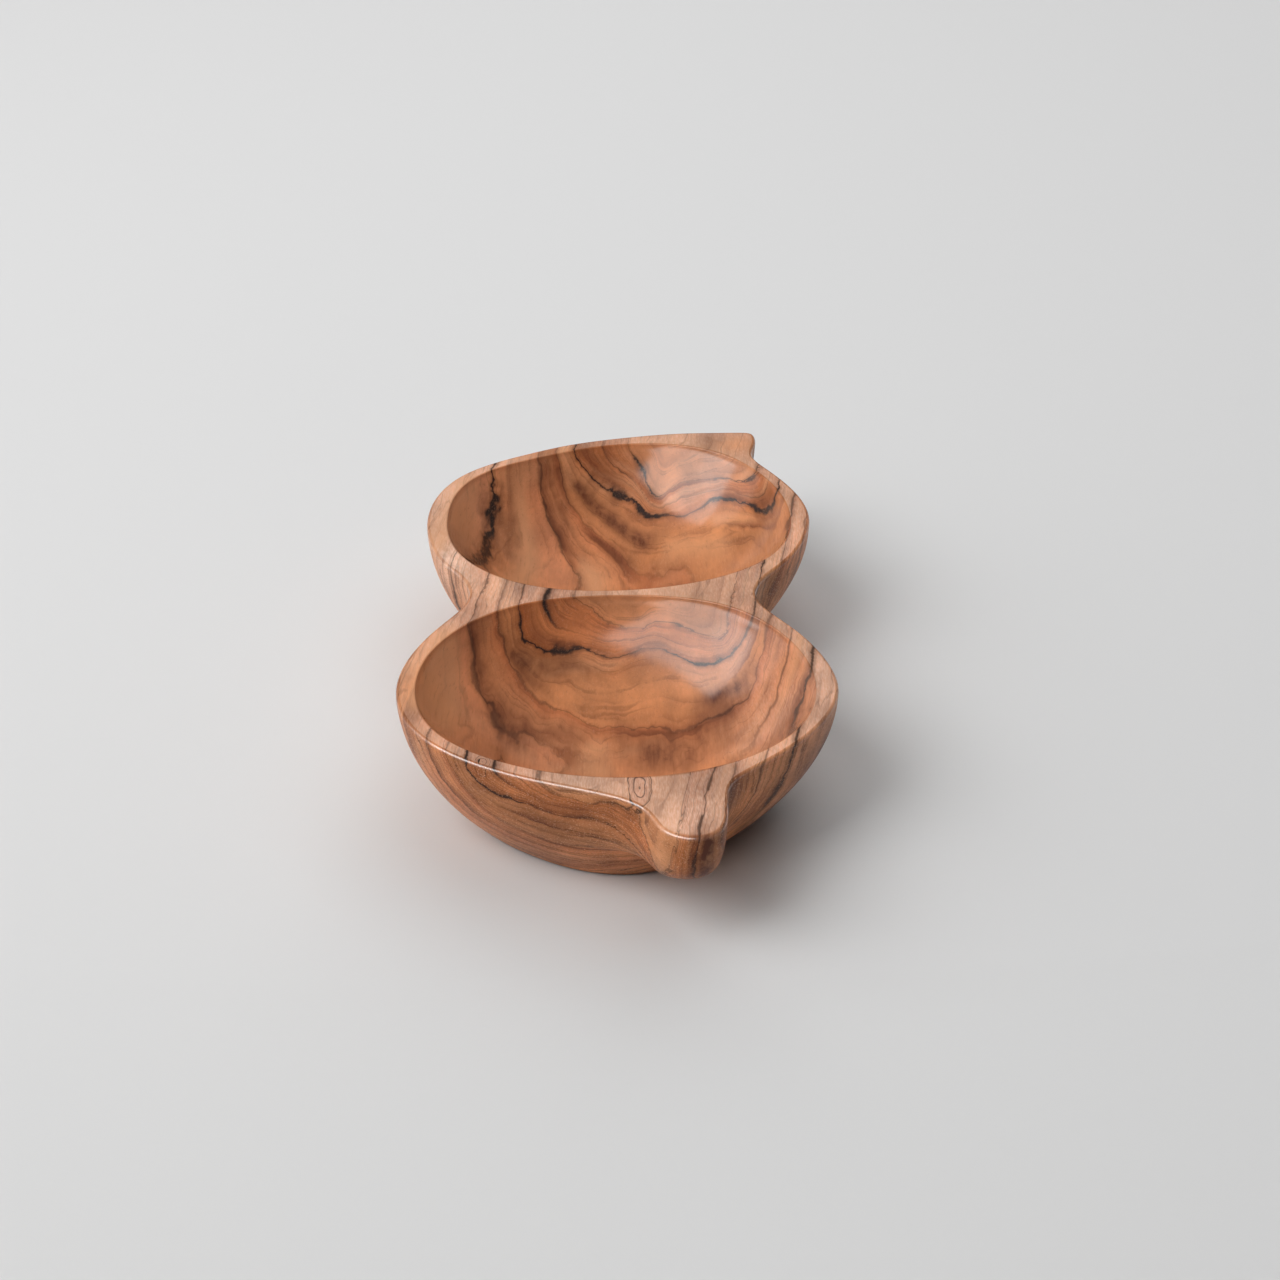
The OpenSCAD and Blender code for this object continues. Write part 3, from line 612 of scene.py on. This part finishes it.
def teakMaterial():
    # the ring values, strayed by noise, give bands, lines, and stains with painted shade and
    # painted light, each mixed over the last
    material = bpy.data.materials.new("hand-carved teak, sanded and lacquered")
    material.use_nodes = True
    tree = material.node_tree
    tree.nodes.clear()
    t = teak
    add = partial(addNode, tree)
    multiply, product, plus = ({"operation": kind} for kind in ("MULTIPLY", "MULTIPLY_ADD", "ADD"))
    clamped = {"operation": "MULTIPLY", "use_clamp": True}
    smooth = {"interpolation_type": "SMOOTHSTEP"}
    mix, tint = ({"data_type": "RGBA", "blend_type": kind} for kind in ("MIX", "MULTIPLY"))
    coords = add("TexCoord"), "Object"
    slant = float(np.arctan(rings["pithSlantX"]))
    field = {}
    for number, (name, (size, stretch, detail, roughness)) in enumerate(t["fields"].items()):
        along = add("Mapping", None, {"Vector": coords, "Rotation": (0, 0, slant),
                                      "Scale": (1, 1 / stretch, 1), "Location": (number, 0, 0)})
        field[name] = add("TexNoise", None, {"Vector": along, "Scale": 1 / (size * mm),
                                             "Detail": detail, "Roughness": roughness})
    age, gap, ink, stain, lacquer, sanded, crisp = (
        (add("Attribute", {"attribute_name": name}), "Fac")
        for name in ("ringAge", "ringGap", "ink", "stain", "lacquer", "sanded", "grain"))

    # rings stray from the smooth tables by so many mm, either way
    swing = t["swing"]
    slow = add("Math", product, [field["slow"], swing * t["straySlow"],
                                 -swing / 2 * (t["straySlow"] + t["strayFast"])])
    stray = add("Math", product, [field["fast"], swing * t["strayFast"], slow])
    grown = add("Math", plus, [age, add("Math", {"operation": "DIVIDE"}, [stray, gap])])
    # rings flow round the knots
    wobble = add("Math", product, [field["fast"], t["knotWobble"], -t["knotWobble"] / 2])
    knots = []
    for place, size in t["knots"]:
        off = add("VectorMath", product, [coords, [1 / (r * mm) for r in size],
                                          [-c / r for c, r in zip(place, size)]])
        off = add("VectorMath", {"operation": "LENGTH"}, [off]), "Value"
        off = add("Math", plus, [off, wobble])
        swirl = add("MapRange", smooth, [off, *t["swirl"]])
        grown = add("Math", plus, [grown, swirl])
        knots.append(off)
    for name, (each, length, detail) in t["alongRings"].items():
        across = add("CombineXYZ", None, [add("Math", multiply, [grown, each])])
        place = add("VectorMath", product, [coords, [1 / (length * mm)] * 3, across])
        field[name] = add("TexNoise", None, {"Vector": place, "Scale": 1, "Detail": detail})
    last = t["bands"][-1][0]
    share = add("Math", {"operation": "DIVIDE"}, [grown, last])
    bands = [(at / last, hexColor(text)) for at, text in t["bands"]]
    color = add("ValToRGB", {"stops": bands}, [share])

    # smoky bands that darken outward and end sharply, here and there, and soft paler ones
    zone = add("Math", product, [grown, t["zones"], t["zoneStart"]])
    zone = add("Math", {"operation": "FRACT"}, [zone])
    zone = add("ValToRGB", {"stops": [(at, (v, v, v, 1)) for at, v in t["zoneRise"]]}, [zone])
    smoky = add("MapRange", smooth, [field["smoky"], *t["smoky"]])
    smoky = add("Math", multiply, [smoky, zone])
    color = add("Mix", mix, {0: smoky, 6: color, 7: hexColor(t["smoke"])}), 2
    paler = add("MapRange", smooth, [field["paler"], *t["paler"]])
    color = add("Mix", mix, {0: paler, 6: color, 7: hexColor(t["pale"])}), 2
    # flat rims, paler from sanding and from a painted sheen, with a fine grit
    veil = add("MapRange", smooth, [field["grit"], *t["veil"]])
    veil = add("Math", multiply, [sanded, veil])
    color = add("Mix", mix, {0: veil, 6: color, 7: hexColor(t["sanded"])}), 2
    # fine growth lines: late wood darkens outward, then ends sharply; strong only in patches
    late = add("Math", {"operation": "FRACT"}, [add("Math", multiply, [grown, t["lines"]])])
    late = add("ValToRGB", {"stops": [(at, (v, v, v, 1)) for at, v in t["lineRise"]]}, [late])
    patch = add("MapRange", smooth, [field["patch"], *t["linePatch"]])
    least = add("MapRange", None, [lacquer, *t["lineLeast"]])
    patch = add("Math", {"operation": "MAXIMUM"}, [patch, least])
    late = add("Math", multiply, [add("Math", multiply, [late, patch]), crisp])
    color = add("Mix", mix, {0: late, 6: color, 7: hexColor(t["lateWood"])}), 2
    # thin dark lines here and there, where a field that runs with the rings is just half
    off = add("Math", {"operation": "SUBTRACT"}, [field["thin"], 0.5])
    off = add("Math", {"operation": "ABSOLUTE"}, [off])
    thin = add("MapRange", smooth, [off, *t["thin"]])
    patch = add("MapRange", smooth, [field["blotch"], *t["thinPatch"]])
    thin = add("Math", multiply, [add("Math", multiply, [thin, patch]), crisp])
    color = add("Mix", mix, {0: thin, 6: color, 7: hexColor(t["thinLine"])}), 2
    # slow mottling, and fine streaks along the fibres
    for name, levels in t["shades"].items():
        shade = add("MapRange", smooth, [field[name], *levels])
        color = add("Mix", tint, {0: 1.0, 6: color, 7: shade}), 2
    # stains and pale patches, painted shade and painted light among them, torn into blotches and
    # streaks; sanding and the painted sheen take most of them off the rims
    torn = add("MapRange", smooth, [field["blotch"], *t["tornBlotch"]])
    streaks = add("MapRange", None, [field["streaks"], *t["tornStreaks"]])
    left = add("MapRange", None, [sanded, *t["sandedAndPaintedSheenOff"]])
    torn = add("Math", multiply, [add("Math", multiply, [torn, streaks]), left])
    # dark: the stains, with painted shade at the foot, on the near lobe's right outer wall and on
    # the tip's end
    dark = add("Math", clamped, [stain, torn])
    color = add("Mix", mix, {0: dark, 6: color, 7: hexColor(t["stain"])}), 2
    # pale patches, among them painted light on the shaded left inner walls and a painted sheen on
    # the far lobe's left outer wall
    light = add("MapRange", None, [stain, *t["palePatch"]])
    color = add("Mix", mix, {0: light, 6: color, 7: hexColor(t["pale"])}), 2

    # ink: the nearest ring's line, jagged, its width changing as it goes, with a smoky edge
    whole = add("Math", {"operation": "ROUND"}, [age])
    off = add("Math", {"operation": "SUBTRACT"}, [grown, whole])
    off = add("Math", multiply, [off, gap])
    reach = add("MapRange", smooth, [ink, *t["jagReach"]])
    jag = add("Math", product, [field["jag"], swing, -swing / 2])
    off = add("Math", {"operation": "ABSOLUTE"}, [add("Math", product, [jag, reach, off])])
    swell = add("MapRange", smooth, [field["inkWidth"], *t["inkSwell"]])
    wide = add("Math", multiply, [ink, swell])
    wide = add("Math", {"operation": "MAXIMUM"}, [wide, t["inkLeast"]])
    ratio = add("Math", {"operation": "DIVIDE"}, [off, wide])
    strength = add("MapRange", smooth, [ink, *t["inkStrength"]])
    for name, levels in t["inkParts"].items():
        line = add("MapRange", smooth, [ratio, *levels])
        line = add("Math", multiply, [line, strength])
        color = add("Mix", mix, {0: line, 6: color, 7: hexColor(t[name])}), 2

    # knots: thin dark loops, one inside the other
    for off in knots:
        loop = add("Math", {"operation": "PINGPONG"}, [off, t["loopEvery"]])
        loop = add("MapRange", smooth, [loop, *t["loop"]])
        inside = add("MapRange", smooth, [off, *t["loopsEnd"]])
        loop = add("Math", multiply, [loop, inside])
        color = add("Mix", mix, {0: loop, 6: color, 7: hexColor(t["ink"])}), 2

    # pale flecks in patches, where sanding left the fibres standing, but not on stains and painted
    # shade
    fleck = add("MapRange", smooth, [field["grit"], *t["flecks"]])
    bare = add("Math", {"operation": "SUBTRACT", "use_clamp": True}, [crisp, dark])
    bare = add("Math", multiply, [add("Math", multiply, [bare, crisp]), torn])
    fleck = add("Math", multiply, [fleck, bare])
    color = add("Mix", mix, {0: fleck, 6: color, 7: hexColor(t["fleck"])}), 2
    # pores: short dark streaks along the fibres, sunk a little
    pore = add("MapRange", smooth, [field["pores"], *t["pores"]])
    pore = add("Math", multiply, [pore, crisp])
    color = add("Mix", mix, {0: pore, 6: color, 7: hexColor(t["pore"])}), 2
    bump = add("Bump", {"invert": True}, {"Height": pore, "Strength": t["poreBump"],
                                          "Distance": t["poreDepth"] * mm})
    surface = add("BsdfPrincipled", None, {
        "Base Color": color, "Normal": bump, "IOR": t["ior"], "Specular IOR Level": t["specular"],
        "Roughness": add("MapRange", None, [field["pores"], *t["roughness"]]),
        "Coat Weight": add("Math", clamped, [lacquer, t["coat"]]),
        "Coat Roughness": add("MapRange", None, [lacquer, *t["coatRoughness"]]),
        "Coat IOR": add("MapRange", None, [lacquer, *t["coatIor"]])})
    add("OutputMaterial", None, [surface])
    return material


bowlPiece.data.materials.append(teakMaterial())
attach(bowlPiece, "root")
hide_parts("carved_bowl")
print("teak made")

# A pale seamless floor under a large softbox at the left, a little in front. Weaker wide lights
# from the left, the back, above and the front fill the shadow.
# Turn is the compass angle to a light, 0 away from the camera and -90 left; rise is above level.
# Some light only what is matt, and one shows only in gloss, as the sheen on the hollows.
# Distances and sizes are metres, and the floor fades into the room from one distance to another.
studio = {
    "floor": "#dedede", "floorSize": 5, "room": "#dcdcdc", "away": 3.0, "roomLight": 0.05,
    "roomSeen": 0.82, "roomMirrored": 0.2, "fadeFrom": 1.04, "fadeTo": 1.75,
    "lights": {
        "softbox": {"turn": -116, "rise": 50, "size": (2.1, 2.1), "watts": 15.4, "lights": "matt",
                    "aim": (-0.2, 0.46, 0), "spread": 82},
        "left fill": {"turn": -92, "rise": 25, "size": (3.0, 2.0), "watts": 23, "lights": "both"},
        "back fill": {"turn": 0, "rise": 35, "size": (3.0, 2.0), "watts": 27, "lights": "matt"},
        "top fill": {"turn": 60, "rise": 72, "size": (3.0, 3.0), "watts": 29, "lights": "matt"},
        "front fill": {"turn": -135, "rise": 18, "size": (2.0, 1.0), "watts": 4, "lights": "matt"},
        "window in the gloss": {"turn": -127.5, "rise": 45, "size": (4.6, 2.4), "watts": 140,
                                "lights": "gloss"},
    },
}


def makeLight(name, row):
    # a rectangle of light that faces the bowl
    lamp = bpy.data.lights.new(name, "AREA")
    lamp.shape = "RECTANGLE"
    lamp.size, lamp.size_y = row["size"]
    lamp.energy = row["watts"]
    light = bpy.data.objects.new(name, lamp)
    turn, rise = math.radians(row["turn"]), math.radians(row["rise"])
    away = studio["away"]
    level = away * math.cos(rise)
    light.location = (level * math.sin(turn), level * math.cos(turn), away * math.sin(rise))
    lamp.spread = math.radians(row.get("spread", 180))
    toBowl = Vector(row.get("aim", (0, 0, 0))) - light.location
    light.rotation_euler = toBowl.to_track_quat("-Z", "Y").to_euler()
    light.visible_camera = False
    light.visible_glossy = row["lights"] != "matt"
    light.visible_diffuse = row["lights"] != "gloss"
    bpy.context.scene.collection.objects.link(light)


def makeStudio():
    # a square floor, the lights round it and a grey room
    s = studio
    half = s["floorSize"] / 2
    mesh = bpy.data.meshes.new("floor")
    mesh.from_pydata([(-half, -half, 0), (half, -half, 0), (half, half, 0), (-half, half, 0)], [],
                     [(0, 1, 2, 3)])
    floor = bpy.data.objects.new("floor", mesh)
    bpy.context.scene.collection.objects.link(floor)
    material = bpy.data.materials.new("matt paper floor")
    material.use_nodes = True
    tree = material.node_tree
    tree.nodes.clear()
    paper = addNode(tree, "BsdfPrincipled", None, {
        "Base Color": hexColor(s["floor"]), "Roughness": 0.9, "Specular IOR Level": 0.1})
    # far from the bowl the floor is seen as pale as the room, so no horizon shows
    coords = addNode(tree, "TexCoord"), "Object"
    distance = addNode(tree, "VectorMath", {"operation": "LENGTH"}, [coords]), "Value"
    seen = addNode(tree, "MapRange", {"interpolation_type": "SMOOTHSTEP"}, {
        "Value": distance, "From Min": s["fadeFrom"], "From Max": s["fadeTo"], "To Min": 0.0,
        "To Max": (addNode(tree, "LightPath"), "Is Camera Ray")})
    room = addNode(tree, "Emission", None, [hexColor(s["room"]), s["roomSeen"]])
    both = addNode(tree, "MixShader", None, [seen, paper, room])
    addNode(tree, "OutputMaterial", None, {"Surface": both})
    mesh.materials.append(material)

    for name, row in s["lights"].items():
        makeLight(name, row)

    world = bpy.data.worlds.new("grey room")
    world.use_nodes = True
    tree = world.node_tree
    tree.nodes.clear()
    rays = addNode(tree, "LightPath")
    mirrored = addNode(tree, "MapRange", None, {
        "Value": (rays, "Is Glossy Ray"), "To Min": s["roomLight"], "To Max": s["roomMirrored"]})
    strength = addNode(tree, "MapRange", None, {
        "Value": (rays, "Is Camera Ray"), "To Min": mirrored, "To Max": s["roomSeen"]})
    backdrop = addNode(tree, "Background", None, {
        "Color": hexColor(s["room"]), "Strength": strength})
    addNode(tree, "OutputWorld", None, {"Surface": backdrop})
    bpy.context.scene.world = world
    bpy.context.scene.view_settings.view_transform = "Standard"


makeStudio()
print("studio lit")
